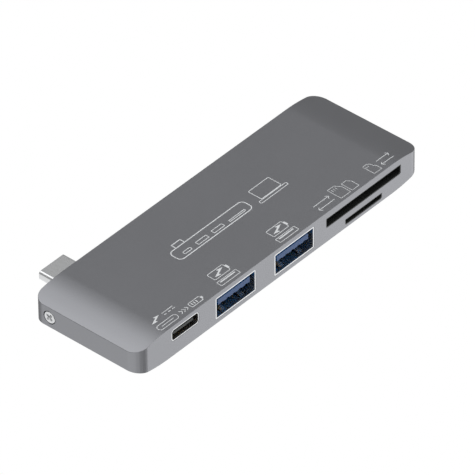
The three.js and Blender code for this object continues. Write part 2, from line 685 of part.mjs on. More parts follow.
// ---------------------------------------------------------------- assembly
const hub = new THREE.Group();
hub.name = 'usb_hub';
hub.add(
  housing(),
  backCover(),
  endScrew('end_screw_left', -1),
  endScrew('end_screw_right', 1),
  mainBoard(),
  ...CHIPS.map((chip) => surfacePart(chip, chipEpoxy)),
  surfacePart(CRYSTAL, stainlessSheet),
  usbAPort('usb_a_1', USB_A1_X),
  usbAPort('usb_a_2', USB_A2_X),
  placed(PD_X, FRONT_Y, PD_Z, [pdShell(), pdTongue()]),
  placed(PLUG_X, BACK_Y, BOARD_MID, [plugShell(), plugInsulator(), plugLatch()]),
  sdReader(),
  microReader(),
);

export default hub;
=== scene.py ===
"""Slim USB-C travel hub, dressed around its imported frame.

The frame gives every place and size. Pieces are shaped in millimetres, in the
frame's own axes: X runs along the body, the ports face -Y, the plug points to +Y.
"""

import logging
import math
from contextlib import contextmanager
from dataclasses import dataclass, field
from enum import Enum
from typing import Any, Callable, ClassVar, Iterator, Sequence

import bmesh
import bpy
from mathutils import Matrix, Vector


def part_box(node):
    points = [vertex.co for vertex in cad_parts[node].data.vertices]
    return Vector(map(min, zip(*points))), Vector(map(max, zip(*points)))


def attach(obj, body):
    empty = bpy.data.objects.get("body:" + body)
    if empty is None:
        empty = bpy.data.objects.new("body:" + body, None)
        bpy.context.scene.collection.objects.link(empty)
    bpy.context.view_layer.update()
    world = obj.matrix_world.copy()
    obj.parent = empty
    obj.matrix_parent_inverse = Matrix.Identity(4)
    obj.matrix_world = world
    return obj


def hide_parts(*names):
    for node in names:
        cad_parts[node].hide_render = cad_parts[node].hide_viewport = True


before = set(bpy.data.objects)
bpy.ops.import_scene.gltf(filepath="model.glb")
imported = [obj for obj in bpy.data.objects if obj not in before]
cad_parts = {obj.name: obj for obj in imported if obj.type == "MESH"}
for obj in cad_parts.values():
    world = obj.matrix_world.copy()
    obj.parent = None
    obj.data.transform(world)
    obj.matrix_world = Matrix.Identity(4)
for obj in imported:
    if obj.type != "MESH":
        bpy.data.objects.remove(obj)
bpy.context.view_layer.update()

MM = 0.001
X_AXIS, Y_AXIS, Z_AXIS = 0, 1, 2
LOG = logging.getLogger("usb_hub")
HUB = "hub_body"  # every new piece rides here; the levers are CAD nodes with bodies of their own
Point = Sequence[float]
Polyline = Sequence[Point]
Piece = bpy.types.Object
Nodes = bpy.types.NodeTree
Test = Callable[[Any], bool]


class Slot(Enum):
    """The record's material slots, named for new pieces but not given to them."""

    ALUMINIUM = "anodised_aluminium"
    MOULDING = "grey_moulding"
    NICKEL = "nickel_plated_steel"
    BLUE = "blue_polymer"
    BLACK = "black_polymer"
    GOLD = "gold_contact"


@dataclass(frozen=True)
class Box:
    """A box in millimetres, by its lowest and highest corners."""

    low: tuple[float, float, float]
    high: tuple[float, float, float]

    @staticmethod
    def of(node: str) -> "Box":
        """The box of one CAD node."""
        low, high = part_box(node)
        return Box(tuple(low / MM), tuple(high / MM))

    @property
    def middle(self) -> Vector:
        """The box's centre."""
        return (Vector(self.low) + Vector(self.high)) / 2

    @property
    def size(self) -> Vector:
        """The lengths of the box's sides."""
        return Vector(self.high) - Vector(self.low)

    @staticmethod
    def about(middle: Point, half: Point) -> "Box":
        """The box that reaches half its size each way from its middle."""
        return Box(tuple(m - h for m, h in zip(middle, half)),
                   tuple(m + h for m, h in zip(middle, half)))

    def grown(self, x: float, y: float, z: float) -> "Box":
        """The box with each side moved out by the amount for its axis."""
        return Box.about(self.middle, self.size / 2 + Vector((x, y, z)))

    def along_y(self, low: float, high: float) -> "Box":
        """The same section, from one place along Y to another."""
        return Box((self.low[0], low, self.low[2]), (self.high[0], high, self.high[2]))


# ------------------------------------------------------------------ bench moves
def deselect() -> None:
    """Leave no object selected."""
    bpy.ops.object.select_all(action="DESELECT")


def take(piece: Piece) -> Piece:
    """Make one piece the only one selected, and the active one."""
    deselect()
    piece.select_set(True)
    bpy.context.view_layer.objects.active = piece
    return piece


@contextmanager
def editing(piece: Piece) -> Iterator[None]:
    """Hold a piece in edit mode, with nothing of it selected at the start."""
    take(piece)
    bpy.ops.object.mode_set(mode="EDIT")
    bpy.ops.mesh.select_all(action="DESELECT")
    try:
        yield
    finally:
        bpy.ops.object.mode_set(mode="OBJECT")


def select_all() -> None:
    """Select everything of the piece in edit mode."""
    bpy.ops.mesh.select_all(action="SELECT")


def pick(piece: Piece, kind: str, test: Test) -> None:
    """Select the faces, edges or vertices of a piece in edit mode that pass a test.

    Args:
        piece: the piece in edit mode.
        kind: FACE, EDGE or VERT.
        test: is given each element and says whether to select it.
    """
    bpy.ops.mesh.select_mode(type=kind)
    bpy.ops.mesh.select_all(action="DESELECT")
    cage = bmesh.from_edit_mesh(piece.data)
    cage.normal_update()
    for element in {"FACE": cage.faces, "EDGE": cage.edges, "VERT": cage.verts}[kind]:
        if test(element):
            element.select_set(True)
    bmesh.update_edit_mesh(piece.data)


def runs_along(axis: int) -> Test:
    """A test for straight edges that run along an axis."""
    def test(edge: Any) -> bool:
        """Say whether the edge runs along the axis."""
        run = edge.verts[1].co - edge.verts[0].co
        return abs(run[axis]) > 0.999 * run.length
    return test


def faces_to(axis: int, side: int) -> Test:
    """A test for flat faces that face one way along an axis."""
    return lambda face: face.normal[axis] * side > 0.999


def crisp_at(axis: int, level: float) -> Test:
    """A test for crisp edges that lie at one level along an axis."""
    return lambda edge: is_crisp(edge) and all(
        abs(v.co[axis] - level) < 0.001 for v in edge.verts)


def extrude(step: Point, scale: Point | None = None, centre: Point = (0, 0, 0)) -> None:
    """Extrude the selected faces by a step, and scale them about a centre if asked."""
    bpy.ops.mesh.extrude_region_move(TRANSFORM_OT_translate={"value": step})
    if scale:
        bpy.ops.transform.resize(value=scale, center_override=centre)


def end_scaled(piece: Piece, axis: int, side: int, scale: Point, centre: Point) -> Piece:
    """Scale the face that closes one end of a piece about a centre."""
    with editing(piece):
        pick(piece, "FACE", faces_to(axis, side))
        bpy.ops.transform.resize(value=scale, center_override=centre)
    return piece


def bevelled(piece: Piece, width: float, steps: int, test: Test) -> Piece:
    """Round off the edges of a piece that pass a test.

    Args:
        piece: the piece to work on.
        width: how far the rounding reaches from each edge, in millimetres.
        steps: segments in the rounding.
        test: says which edges.

    Returns:
        The same piece.
    """
    with editing(piece):
        pick(piece, "EDGE", test)
        bpy.ops.mesh.bevel(offset=width, segments=steps, affect="EDGES", clamp_overlap=True)
        select_all()
        bpy.ops.mesh.remove_doubles(threshold=0.0005)
    return piece


def is_crisp(edge: Any) -> bool:
    """Say whether an edge turns by more than 50 degrees."""
    return len(edge.link_faces) == 2 and edge.calc_face_angle(0.0) > math.radians(50)


def _placed(name: str) -> Piece:
    """Name the primitive just added, and move its place and size into its mesh."""
    bpy.context.object.name = name
    bpy.ops.object.transform_apply(location=True, rotation=True, scale=True)
    return bpy.context.object


def block(name: str, box: Box) -> Piece:
    """A box-shaped blank to shape further."""
    deselect()
    bpy.ops.mesh.primitive_cube_add(size=1, location=box.middle, scale=box.size)
    return _placed(name)


def bar(name: str, box: Box, axis: int, radius: float, steps: int = 6) -> Piece:
    """A blank whose four edges along one axis are rounded.

    Args:
        name: the piece's name.
        box: its outer box.
        axis: the axis that the rounded edges run along.
        radius: their radius, up to half the bar's height for a stadium section.
        steps: segments in each rounded edge.

    Returns:
        The new blank.
    """
    return bevelled(block(name, box), radius, steps, runs_along(axis))


def _corner(piece: Piece, choose: Callable[..., float]) -> Vector:
    """The lowest (min) or highest (max) corner of a piece's mesh."""
    return Vector([choose(v.co[i] for v in piece.data.vertices) for i in range(3)])


def tube(name: str, box: Box, radius: float, wall: float, rim: float,
         steps: int = 6) -> Piece:
    """A drawn tube along Y: a bar with both ends inset, opened and bridged.

    Args:
        name: the piece's name.
        box: its outer box.
        radius: outer radius of its long edges.
        wall: wall thickness.
        rim: rounding of the edges at both mouths.
        steps: segments in each long edge.

    Returns:
        The new tube.
    """
    blank = bar(name, box, Y_AXIS, radius, steps)
    with editing(blank):
        pick(blank, "FACE", lambda face: abs(face.normal.y) > 0.999)
        bpy.ops.mesh.inset(thickness=wall, use_even_offset=True)
        bpy.ops.mesh.bridge_edge_loops()
    at_mouth = [crisp_at(Y_AXIS, _corner(blank, choose).y) for choose in (min, max)]
    return bevelled(blank, rim, 3, lambda edge: any(test(edge) for test in at_mouth))


def rod(name: str, middle: Point, radius: float, length: float, sides: int = 48) -> Piece:
    """A round blank that lies along X."""
    deselect()
    bpy.ops.mesh.primitive_cylinder_add(vertices=sides, radius=radius, depth=length,
                                        location=middle, rotation=(0, math.pi / 2, 0))
    return _placed(name)


def combine(piece: Piece, tools: Sequence[Piece],
            operation: str = "DIFFERENCE") -> Piece:
    """Cut tools out of a piece, or weld them to it, and put the tools away.

    Args:
        piece: the piece that stays.
        tools: closed meshes, which are used up.
        operation: DIFFERENCE to cut or UNION to weld.

    Returns:
        The same piece.
    """
    for tool in tools:
        take(piece)
        modifier = piece.modifiers.new("shape", "BOOLEAN")
        modifier.operation, modifier.solver, modifier.object = operation, "EXACT", tool
        bpy.ops.object.modifier_apply(modifier=modifier.name)
        bpy.data.objects.remove(tool)
    return piece


def gathered(name: str, parts: Sequence[Piece]) -> Piece:
    """Join separate meshes into one piece."""
    deselect()
    for part in parts:
        part.select_set(True)
    bpy.context.view_layer.objects.active = parts[0]
    bpy.ops.object.join()
    parts[0].name = name
    return parts[0]


def copied(piece: Piece, name: str, step: Point) -> Piece:
    """A copy of a piece with its own mesh, moved by a step in millimetres."""
    twin = piece.copy()
    twin.data = piece.data.copy()
    twin.name = name
    bpy.context.scene.collection.objects.link(twin)
    twin.data.transform(Matrix.Translation(step))
    return twin


def bisected(piece: Piece, axis: int, places: Sequence[float]) -> Piece:
    """Cut rings round a piece at places along an axis, so that it can be bent there."""
    with editing(piece):
        for place in places:
            select_all()
            at = [place if i == axis else 0.0 for i in range(3)]
            normal = [1.0 if i == axis else 0.0 for i in range(3)]
            bpy.ops.mesh.bisect(plane_co=at, plane_no=normal)
    return piece


def smoothed(piece: Piece, degrees: float = 32.0) -> Piece:
    """Shade a piece smooth up to an angle, with flat faces kept flat."""
    take(piece)
    bpy.ops.object.shade_smooth_by_angle(angle=math.radians(degrees))
    modifier = piece.modifiers.new("normals", "WEIGHTED_NORMAL")
    modifier.keep_sharp = True
    modifier.weight = 100
    bpy.ops.object.modifier_apply(modifier=modifier.name)
    return piece


# --------------------------------------------------------------------- finishes
def srgb(code: str) -> tuple[float, float, float, float]:
    """The linear colour of an sRGB hex code."""
    channels = [int(code[i:i + 2], 16) / 255 for i in (1, 3, 5)]
    linear = [c / 12.92 if c <= 0.04045 else ((c + 0.055) / 1.055) ** 2.4 for c in channels]
    return (*linear, 1.0)


def add_node(tree: Nodes, kind: str, inputs: dict[Any, Any] | None = None,
             **settings: Any) -> Any:
    """Add a shader node to a tree.

    Args:
        tree: the material's or world's nodes.
        kind: the node's type name, without its ShaderNode prefix.
        inputs: a value, or an output socket to link, for each named or numbered input.
        **settings: the node's own properties.

    Returns:
        The new node's outputs, by number or name.
    """
    node = tree.nodes.new(f"ShaderNode{kind}")
    for name, value in settings.items():
        setattr(node, name, value)
    for key, value in (inputs or {}).items():
        if isinstance(value, bpy.types.NodeSocket):
            tree.links.new(value, node.inputs[key])
        else:
            node.inputs[key].default_value = value
    return node.outputs


def cleared(owner: bpy.types.Material | bpy.types.World) -> Nodes:
    """The emptied node tree of a new material or world."""
    owner.use_nodes = True
    owner.node_tree.nodes.clear()
    return owner.node_tree


@dataclass(frozen=True)
class Finish:
    """A surface with a fine grain, slow patches of tone, and relief."""

    name: str
    pale: str
    deep: str
    roughness: float
    metallic: float = 0.0
    rough_spread: float = 0.05
    grain_mm: float = 0.3
    stretch: tuple[float, float, float] = (1.0, 1.0, 1.0)
    patch_mm: float = 9.0
    relief_mm: float = 0.002
    ior: float = 1.5
    coat: float = 0.0

    def material(self) -> bpy.types.Material:
        """The material, made once and then shared."""
        return bpy.data.materials.get(self.name) or self._made()

    def _made(self) -> bpy.types.Material:
        """Build the node tree."""
        material = bpy.data.materials.new(self.name)
        tree = cleared(material)
        place = add_node(tree, "TexCoord")["Object"]
        grain = self._grain(tree, place)
        tone = self._tone(tree, place, grain)
        rough = add_node(tree, "MapRange", {
            "Value": grain, "From Min": 0.25, "From Max": 0.75,
            "To Min": self.roughness - self.rough_spread,
            "To Max": self.roughness + self.rough_spread})[0]
        relief = add_node(tree, "Bump", {
            "Height": grain, "Strength": 1.0, "Distance": self.relief_mm * MM})[0]
        inputs = {"Base Color": tone, "Roughness": rough, "Normal": relief,
                  "Metallic": self.metallic, "Coat Weight": self.coat}
        if not self.metallic:
            inputs["IOR"] = self.ior
        shader = add_node(tree, "BsdfPrincipled", inputs)
        add_node(tree, "OutputMaterial", {"Surface": shader[0]})
        return material

    def _grain(self, tree: Nodes, place: Any) -> Any:
        """The fine grain, from 0 to 1."""
        scale = [s / (self.grain_mm * MM) for s in self.stretch]
        spot = add_node(tree, "Mapping", {"Vector": place, "Scale": scale})
        noise = add_node(tree, "TexNoise", {
            "Vector": spot[0], "Scale": 1.0, "Detail": 3.0, "Roughness": 0.6})
        return noise[0]

    def _tone(self, tree: Nodes, place: Any, grain: Any) -> Any:
        """The colour: slow patches between the deep and the pale tone."""
        patches = add_node(tree, "TexNoise", {
            "Vector": place, "Scale": 1 / (self.patch_mm * MM), "Detail": 2.0})[0]
        both = add_node(tree, "Math", {0: grain, 1: patches}, operation="ADD")
        share = add_node(tree, "MapRange", {
            "Value": both[0], "From Min": 0.6, "From Max": 1.4})[0]
        return add_node(tree, "Mix", {
            0: share, 6: srgb(self.deep), 7: srgb(self.pale)}, data_type="RGBA")[2]


@dataclass(frozen=True)
class PrintedBoard(Finish):
    """Solder mask over copper: tracks show as paler lines at a fine pitch."""

    copper: str = "#2F6B45"
    track_mm: float = 1.1

    def _tone(self, tree: Nodes, place: Any, grain: Any) -> Any:
        """Mask colour with raised tracks that turn at right angles."""
        mask = super()._tone(tree, place, grain)
        cells = add_node(tree, "TexVoronoi", {
            "Vector": place, "Scale": 1 / (6 * self.track_mm * MM)}, distance="CHEBYCHEV")
        bands = add_node(tree, "Math", {
            0: cells["Distance"], 1: 22.0}, operation="MULTIPLY")
        wave = add_node(tree, "Math", {0: bands[0]}, operation="SINE")
        track = add_node(tree, "MapRange", {
            "Value": wave[0], "From Min": 0.35, "From Max": 0.55})[0]
        return add_node(tree, "Mix", {
            0: track, 6: mask, 7: srgb(self.copper)}, data_type="RGBA")[2]


@dataclass(frozen=True)
class PaintedLightMoulding(Finish):
    """Painted light: a clear, strong blue painted behind the moulding's nose to brighten the
    shaded inside of the port; the nose keeps the plain, duller colour.
    """

    # painted light: the brighter blue that stands in for light inside the port
    painted_lit_blue: str = "#15649F"
    nose_mm: float = 0.0
    painted_ramp_mm: float = 0.15

    def _tone(self, tree: Nodes, place: Any, grain: Any) -> Any:
        """The plain colour at the nose, and the brighter painted-light colour behind it."""
        nose_tone = super()._tone(tree, place, grain)
        depth = add_node(tree, "SeparateXYZ", {0: place})["Y"]
        share = add_node(tree, "MapRange", {
            "Value": depth, "From Min": (self.nose_mm + 0.3 * self.painted_ramp_mm) * MM,
            "From Max": (self.nose_mm + self.painted_ramp_mm) * MM})[0]
        # painted light: blend from the nose's plain colour to the painted brighter blue behind it
        return add_node(tree, "Mix", {
            0: share, 6: nose_tone, 7: srgb(self.painted_lit_blue)}, data_type="RGBA")[2]


# Bead-blasted and anodised: an even, satin grey that keeps soft reflections. The blast
# pits are about 0.1 mm across; the grain is drawn at 0.35 mm so that it can show.
ANODISED = Finish("anodised aluminium, bead blasted", "#939498", "#8F9094", roughness=0.30,
                  metallic=1.0, rough_spread=0.02, grain_mm=0.35, patch_mm=14.0, relief_mm=0.0004)
# Moulded ABS with a fine spark-eroded texture: soft, slightly speckled grey.
MOULDED_GREY = Finish("ABS moulding, spark-eroded grey", "#6A6C70", "#585A5E", roughness=0.52,
                      grain_mm=0.25, relief_mm=0.006, ior=1.53)
# Bright nickel on drawn steel: faint lines along the draw, clean white highlights.
NICKEL = Finish("nickel plate on drawn steel", "#DFE0E1", "#D9DADB", roughness=0.25,
                metallic=1.0, rough_spread=0.02, grain_mm=0.25, stretch=(1.0, 0.08, 1.0),
                relief_mm=0.0001)
# Stamped stainless sheet: rolled surface with a soft, slightly warm shine.
STAINLESS = Finish("stainless sheet, rolled", "#C2C2C0", "#AFAFAD", roughness=0.32,
                   metallic=1.0, grain_mm=0.2, stretch=(1.0, 0.1, 1.0), relief_mm=0.0008)
# Moulded LCP in port blue: dull and slightly cloudy on the tongue's nose; behind it a
# clear, strong blue painted brighter, as painted light in the shaded inside of the port.
BLUE_LCP = PaintedLightMoulding("LCP moulding, port blue", "#17477C", "#103A68", roughness=0.42,
                          grain_mm=0.22, patch_mm=3.0, relief_mm=0.003, ior=1.6,
                          nose_mm=Box.of("usb_a_1_insulator").low[1])
# Moulded black LCP and nylon: almost matt, faintly mottled by its glass fibres.
BLACK_LCP = Finish("LCP moulding, black", "#232524", "#171918", roughness=0.45,
                   grain_mm=0.22, patch_mm=3.0, relief_mm=0.004, ior=1.6)
# Nylon moulding in charcoal: a shade paler than the card readers, quite dull.
CHARCOAL = Finish("nylon moulding, charcoal", "#414442", "#2E302F", roughness=0.6,
                  grain_mm=0.3, patch_mm=1.2, relief_mm=0.004, ior=1.53)
# Gold flash over nickel on sprung bronze: warm, slightly worn along its length.
GOLD = Finish("gold plate on phosphor bronze", "#E6C06A", "#CFA552", roughness=0.27,
              metallic=1.0, grain_mm=0.12, stretch=(1.0, 0.2, 1.0), relief_mm=0.0004)
# Glass-epoxy board under green solder mask: glossy, with tracks just visible.
BOARD = PrintedBoard("FR4 board, green solder mask", "#1D5136", "#17452D", roughness=0.3,
                     grain_mm=0.3, relief_mm=0.002, ior=1.55, coat=0.3)
# Transfer-moulded epoxy: dark, dusty grey with a fine mineral filler.
EPOXY = Finish("epoxy chip package", "#2A2B2D", "#202123", roughness=0.62,
               grain_mm=0.1, relief_mm=0.003, ior=1.55)
# Pad-printed ink: pale grey, matt, a hair thick, with a slight speckle at its edges.
INK = Finish("pad-printed ink, pale grey", "#DADCDE", "#CED0D2", roughness=0.6,
             grain_mm=0.12, patch_mm=4.0, relief_mm=0.001, ior=1.48)


def mounted(piece: Piece, finish: Finish, slot: Slot | None, *stands_for: str) -> None:
    """Scale a finished piece to metres, dress it, and fix it to the hub.

    Args:
        piece: the piece, in millimetres, in place.
        finish: its surface.
        slot: the record's material slot, or None where it has none; not used.
        *stands_for: CAD nodes that the piece replaces.
    """
    piece.data.transform(Matrix.Scale(MM, 4))
    piece.data.materials.clear()
    piece.data.materials.append(finish.material())
    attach(piece, HUB)
    if stands_for:
        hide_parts(*stands_for)
    LOG.info("%s: %d faces, rides on %s", piece.name, len(piece.data.polygons), HUB)


def dressed(finish: Finish, *nodes: str) -> None:
    """Give CAD nodes whose shape is right their finish."""
    for name in nodes:
        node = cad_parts[name]
        if not node.material_slots:
            node.data.materials.append(None)
        for material_slot in node.material_slots:
            material_slot.material = finish.material()
        LOG.info("%s: CAD node, %s", name, finish.name)


# ------------------------------------------------------------------------- body
@dataclass
class Enclosure:
    """The aluminium housing and the moulded cover in its open back."""

    taper_run: float = 10.1
    taper_drop: float = 1.36
    corner: float = 3.3
    edge: float = 0.07
    face_wall: float = 0.8
    end_wall: float = 3.0
    front_wall: float = 1.2
    inner_corner: float = 1.2
    rings: int = 16
    chamfer: float = 0.03
    slip: float = 0.1
    flare: float = 0.3
    seat_radius: float = 1.57
    seat_depth: float = 0.56
    seat_flare: float = 1.12
    bore_radius: float = 1.1
    plate: float = 1.2
    tab: float = 4.6
    tab_levels: tuple[float, float] = (2.2, 6.0)
    lap: float = 0.6
    rib: float = 0.6
    rib_ends: tuple[float, float] = (-24.0, 37.0)
    screw_from_back: float = 5.1
    box: Box = field(default_factory=lambda: Box.of("housing"))

    @property
    def arc_radius(self) -> float:
        """Radius of the arc along which top and bottom fall in."""
        return (self.taper_run ** 2 + self.taper_drop ** 2) / (2 * self.taper_drop)

    def fall(self, x: float, wall: float = 0.0) -> float:
        """How far the top has fallen at a place along the body.

        Args:
            x: distance from the middle of the body.
            wall: how far the surface is drawn in from the outside.

        Returns:
            The drop in millimetres.
        """
        beyond = max(0.0, abs(x) - (self.box.high[0] - self.taper_run))
        radius = self.arc_radius - wall
        return radius - math.sqrt(radius ** 2 - beyond ** 2)

    def top_at(self, x: float) -> float:
        """Height of the body's top at a place along it."""
        return self.box.high[2] - self.fall(x)

    def tapered(self, name: str, box: Box, wall: float, corner: float,
                edge: float) -> Piece:
        """A block with rounded upright corners that thins along an arc at both ends.

        Args:
            name: the piece's name.
            box: the box before it is thinned.
            wall: how far its faces lie inside the body's outside.
            corner: radius of its upright corners.
            edge: rounding of its top and bottom edges, 0 for none.

        Returns:
            The new blank.
        """
        body = bar(name, box, Z_AXIS, corner, 14)
        if edge:
            bevelled(body, edge, 3, lambda e: is_crisp(e) and not runs_along(Z_AXIS)(e))
        start = self.box.high[0] - self.taper_run
        last = box.high[0] - start
        places = [start + last * k / self.rings for k in range(self.rings)]
        bisected(body, X_AXIS, [side * place for side in (-1, 1) for place in places])
        middle = self.box.middle.z
        for vertex in body.data.vertices:
            fall = self.fall(vertex.co.x, wall)
            vertex.co.z += fall if vertex.co.z < middle else -fall
        return body

    def cavity(self) -> Piece:
        """The room inside, open at the back."""
        half = self.box.high[0] - self.end_wall
        low = (-half, self.box.low[1] + self.front_wall, self.box.low[2] + self.face_wall)
        high = (half, self.box.high[1] + 3, self.box.high[2] - self.face_wall)
        return self.tapered("cavity", Box(low, high), self.face_wall, self.inner_corner, 0)

    def mouth(self, box: Box, radius: float, gap: float) -> Piece:
        """The cutter for a connector's opening in the front face.

        Args:
            box: the connector that shows through.
            radius: corner radius of the opening.
            gap: clearance round the connector.

        Returns:
            The cutter, with a chamfered mouth.
        """
        return self._chamfered(bar("mouth", self._through(box.grown(gap, 0, gap)), Y_AXIS,
                                   radius, 8))

    def card_mouth(self, slot: Box) -> Piece:
        """The cutter for the opening that a card reader's nose fills."""
        return self._chamfered(slot_blank("card_mouth", self._through(slot)))

    def _through(self, box: Box) -> Box:
        """A box made long enough to cut through the front wall."""
        front = self.box.low[1]
        return box.along_y(front + self.chamfer, front + self.front_wall + 1)

    def _chamfered(self, cutter: Piece, side: int = -1) -> Piece:
        """Draw a cutter's outer end out at 45 degrees, so that its opening is chamfered."""
        run, low, high = self.chamfer + self.flare, _corner(cutter, min), _corner(cutter, max)
        scale = [1 + 2 * run / length for length in high - low]
        with editing(cutter):
            pick(cutter, "FACE", faces_to(Y_AXIS, side))
            extrude((0, side * run, 0), (scale[0], 1, scale[2]), (low + high) / 2)
        return cutter

    def screw_seat(self, side: int) -> Piece:
        """The stepped and chamfered hole for an end screw."""
        middle, face = Box.of(EndScrew(side).node).middle, side * self.box.high[0]
        head = rod("seat", (face - side * 0.15, middle.y, middle.z), self.seat_radius,
                   self.seat_depth)
        end_scaled(head, X_AXIS, side, (1, self.seat_flare, self.seat_flare), middle)
        shank = rod("shank_hole", (face - side * 2.2, middle.y, middle.z), self.bore_radius,
                    4.4, 32)
        return combine(head, [shank], "UNION")

    def housing(self, openings: Sequence[Piece]) -> Piece:
        """The housing with its cavity, port openings and screw seats."""
        body = self.tapered("housing_shell", self.box, 0.0, self.corner, self.edge)
        cutters = [self.cavity(), *openings, self.screw_seat(-1), self.screw_seat(1)]
        return smoothed(combine(body, cutters), 28)

    def cover(self, plug: Box) -> Piece:
        """The back cover: plate, screw tabs and board ribs, with the plug's opening."""
        whole, board = Box.of("back_cover"), Box.of("main_board")
        rear, half = whole.high[1], self.box.high[0] - self.end_wall - self.slip
        inside, wall = rear - self.lap, self.face_wall + self.slip
        box = Box((-half, rear - self.plate, wall), (half, rear, self.box.high[2] - wall))
        plate = self.tapered("cover_plate", box, wall, 0.3, 0.1)
        (low, high), (left, right) = self.tab_levels, self.rib_ends
        ends = [sorted((side * half, side * (half - self.tab))) for side in (-1, 1)]
        tabs = [bar("tab", Box((a, whole.low[1], low), (b, inside, high)), Y_AXIS, 0.3, 3)
                for a, b in ends]
        ribs = [bar("rib", Box((left, board.high[1] - 0.9, z), (right, inside, z + self.rib)),
                    X_AXIS, 0.12, 2)
                for z in (board.high[2] + 0.05, board.low[2] - self.rib - 0.05)]
        combine(plate, [*tabs, *ribs], "UNION")
        gap = 0.15
        hole = self._chamfered(bar(
            "plug_hole", plug.grown(gap, 0, gap).along_y(rear - 3, rear - self.chamfer),
            Y_AXIS, Plug.corner + gap, 8), 1)
        bores = [rod("bore", (side * 43.5, self.box.high[1] - self.screw_from_back,
                              self.box.middle.z), self.bore_radius, 9, 24) for side in (-1, 1)]
        return smoothed(combine(plate, [hole, *bores]), 28)

    def build(self) -> None:
        """Make and mount the housing and its cover."""
        openings = [self.mouth(Box.of(f"usb_a_{n}_shell"), 0.35, -0.02) for n in (1, 2)]
        openings.append(self.mouth(Box.of("pd_port_shell"), ChargePort.corner + 0.05, 0.05))
        openings += [self.card_mouth(CardSlots.nose_of(prefix)) for prefix in ("sd", "microsd")]
        mounted(self.housing(openings), ANODISED, Slot.ALUMINIUM, "housing")
        mounted(self.cover(Box.of("plug_shell")), MOULDED_GREY, Slot.MOULDING, "back_cover")


@dataclass
class EndScrew:
    """A countersunk cross-head screw in an end face."""

    side: int
    head_radius: float = 1.52
    rim: float = 0.3
    cone: float = 0.6
    shank_radius: float = 1.0
    arm: float = 1.05
    arm_width: float = 0.62
    recess: float = 0.8
    core: float = 0.55
    turn: float = 38.0
    tip: float = 0.4

    @property
    def node(self) -> str:
        """The screw's CAD node."""
        return "end_screw_left" if self.side < 0 else "end_screw_right"

    def build(self) -> None:
        """Turn the screw, cut its recess and mount it."""
        node, box = self.node, Box.of(self.node)
        face = box.low[0] if self.side < 0 else box.high[0]
        middle, inwards = box.middle, -self.side
        screw = rod(f"{node}_turned", (face + inwards * self.rim / 2, middle.y, middle.z),
                    self.head_radius, self.rim, 64)
        shank = box.size.x - self.rim - self.cone
        ratio = self.shank_radius / self.head_radius
        with editing(screw):
            pick(screw, "FACE", faces_to(X_AXIS, inwards))
            extrude((inwards * self.cone, 0, 0), (1, ratio, ratio), middle)
            extrude((inwards * (shank - self.tip), 0, 0))
            extrude((inwards * self.tip, 0, 0), (1, 0.7, 0.7), middle)
        bevelled(screw, 0.12, 3, crisp_at(X_AXIS, face))
        recess = [*self._arms(face, middle), self._point(face, middle)]
        spin = Matrix.Translation(middle) @ Matrix.Rotation(
            math.radians(self.turn), 4, "X") @ Matrix.Translation(-middle)
        for cutter in recess:
            cutter.data.transform(spin)
        combine(screw, recess)
        mounted(smoothed(screw, 30), NICKEL, Slot.NICKEL, node)

    def _arms(self, face: float, middle: Vector) -> list[Piece]:
        """Two crossing cutters whose flanks lean in with depth."""
        arms = []
        for axis in (Y_AXIS, Z_AXIS):
            half = Vector((0.0, self.arm_width / 2, self.arm_width / 2))
            half[axis] = self.arm
            ends = sorted((face + self.side * 0.05, face - self.side * self.recess))
            arm = bar("arm", Box((ends[0], middle.y - half.y, middle.z - half.z),
                                 (ends[1], middle.y + half.y, middle.z + half.z)), X_AXIS, 0.08, 2)
            arms.append(end_scaled(arm, X_AXIS, -self.side, (1, 0.45, 0.45), middle))
        return arms

    def _point(self, face: float, middle: Vector) -> Piece:
        """The cone where the arms of the recess meet."""
        point = rod("point", (face - self.side * (self.recess - 0.05) / 2, middle.y, middle.z),
                    self.core, self.recess + 0.05, 24)
        return end_scaled(point, X_AXIS, -self.side, (1, 0.3, 0.3), middle)


